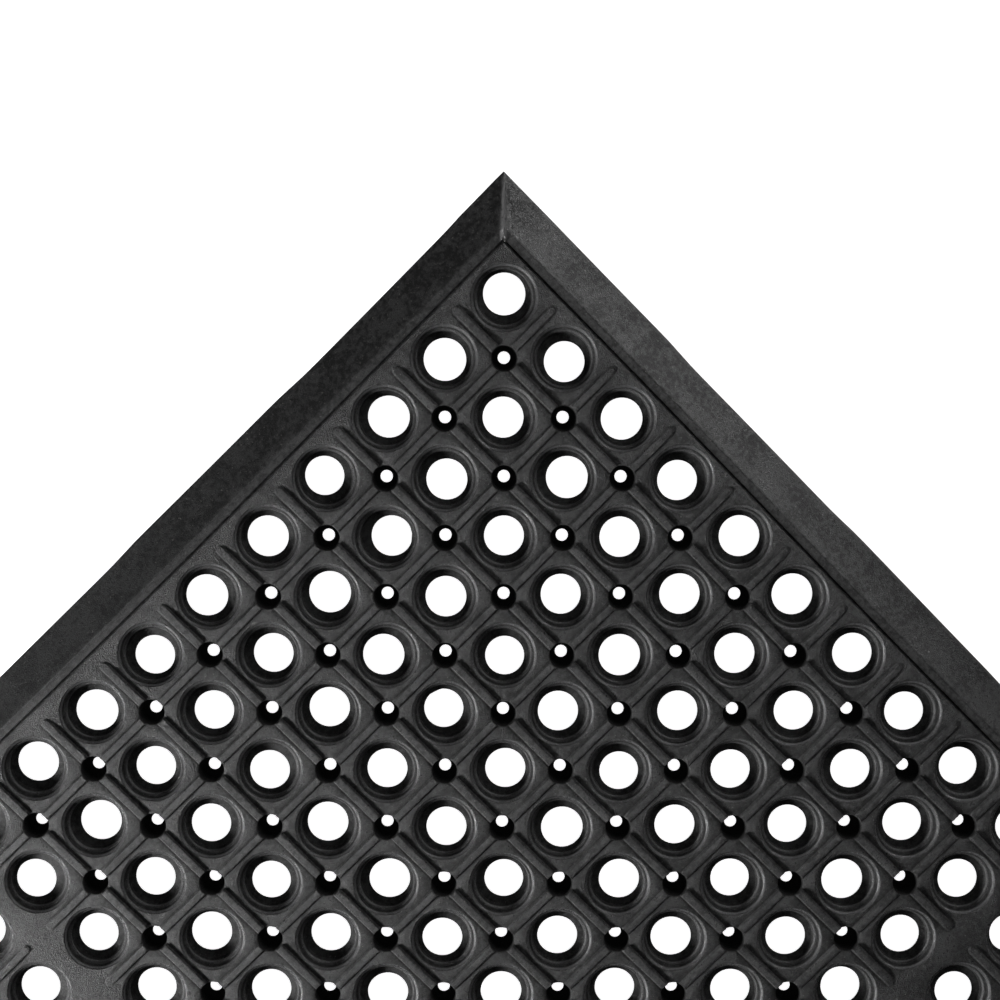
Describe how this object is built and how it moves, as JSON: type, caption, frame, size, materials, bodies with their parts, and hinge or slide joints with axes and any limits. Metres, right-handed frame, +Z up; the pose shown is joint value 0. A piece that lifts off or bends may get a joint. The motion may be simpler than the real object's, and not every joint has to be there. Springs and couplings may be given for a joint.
{
  "type": "anti fatigue mat",
  "caption": "Black rubber drainage anti-fatigue mat: a field of round drain holes and raised grip ribs, with bevelled mitred ramps on all sides.",
  "frame": {"origin": "middle of the mat's underside, on the floor", "axes": "+X across the width, +Y along the length, +Z up"},
  "size_m": [0.917, 1.507, 0.0095],
  "materials": {
    "field_rubber": "black moulded rubber, matt with a fine mottled skin and a faint waxy sheen on rib tops and rims",
    "ramp_rubber": "black moulded rubber, smoother and slightly shinier than the field, finely mottled"
  },
  "bodies": {
    "root": {"field_panel_r1_c1": "field_rubber", "field_panel_r1_c2": "field_rubber", "field_panel_r1_c3": "field_rubber", "field_panel_r2_c1": "field_rubber", "field_panel_r2_c2": "field_rubber", "field_panel_r2_c3": "field_rubber", "field_panel_r3_c1": "field_rubber", "field_panel_r3_c2": "field_rubber", "field_panel_r3_c3": "field_rubber", "field_panel_r4_c1": "field_rubber", "field_panel_r4_c2": "field_rubber", "field_panel_r4_c3": "field_rubber", "field_panel_r5_c1": "field_rubber", "field_panel_r5_c2": "field_rubber", "field_panel_r5_c3": "field_rubber", "ramp_left": "ramp_rubber", "ramp_right": "ramp_rubber", "ramp_front": "ramp_rubber", "ramp_back": "ramp_rubber"}
  },
  "joints": []
}
